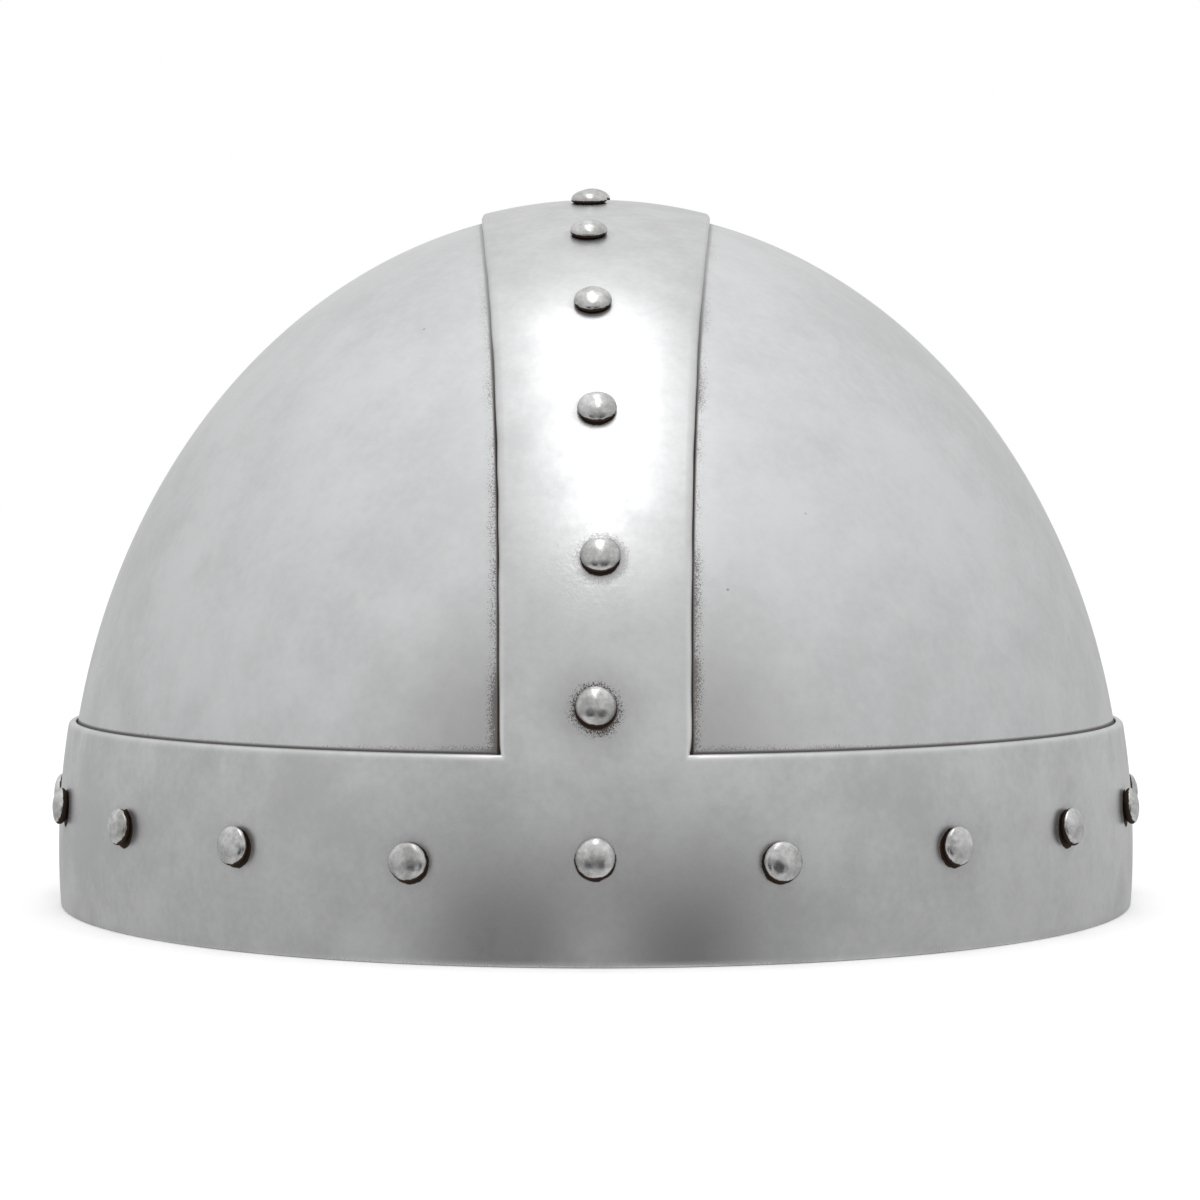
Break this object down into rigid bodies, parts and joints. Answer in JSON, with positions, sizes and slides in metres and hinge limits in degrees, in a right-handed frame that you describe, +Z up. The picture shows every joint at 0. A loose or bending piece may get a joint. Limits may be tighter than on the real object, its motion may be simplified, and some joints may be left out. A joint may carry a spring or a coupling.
{
  "type": "spangenhelm helmet",
  "caption": "Riveted steel helmet: two half-bowl panels under a brow band and a front-to-back crest strap.",
  "frame": {"origin": "on the rim's plane, below the middle of the bowl", "axes": "+Z up towards the crown, -Y the way the face looks, +X the wearer's left"},
  "size_m": [0.2172, 0.247, 0.1411],
  "materials": {
    "frame_steel": "satin, finely blasted",
    "panel_steel": "satin, finely blasted",
    "rivet_steel": "hammered, bright"
  },
  "bodies": {
    "root": {"band_frame": "frame_steel", "left_panel": "panel_steel", "right_panel": "panel_steel", "brow_rivet_01": "rivet_steel", "brow_rivet_02": "rivet_steel", "brow_rivet_03": "rivet_steel", "brow_rivet_04": "rivet_steel", "brow_rivet_05": "rivet_steel", "brow_rivet_06": "rivet_steel", "brow_rivet_07": "rivet_steel", "brow_rivet_08": "rivet_steel", "brow_rivet_09": "rivet_steel", "brow_rivet_10": "rivet_steel", "brow_rivet_11": "rivet_steel", "brow_rivet_12": "rivet_steel", "brow_rivet_13": "rivet_steel", "brow_rivet_14": "rivet_steel", "brow_rivet_15": "rivet_steel", "brow_rivet_16": "rivet_steel", "brow_rivet_17": "rivet_steel", "brow_rivet_18": "rivet_steel", "brow_rivet_19": "rivet_steel", "brow_rivet_20": "rivet_steel", "crest_rivet_01": "rivet_steel", "crest_rivet_02": "rivet_steel", "crest_rivet_03": "rivet_steel", "crest_rivet_04": "rivet_steel", "crest_rivet_05": "rivet_steel", "crest_rivet_06": "rivet_steel", "crest_rivet_07": "rivet_steel", "crest_rivet_08": "rivet_steel", "crest_rivet_09": "rivet_steel", "crest_rivet_10": "rivet_steel", "crest_rivet_11": "rivet_steel", "crest_rivet_12": "rivet_steel", "crest_rivet_13": "rivet_steel"}
  },
  "joints": []
}
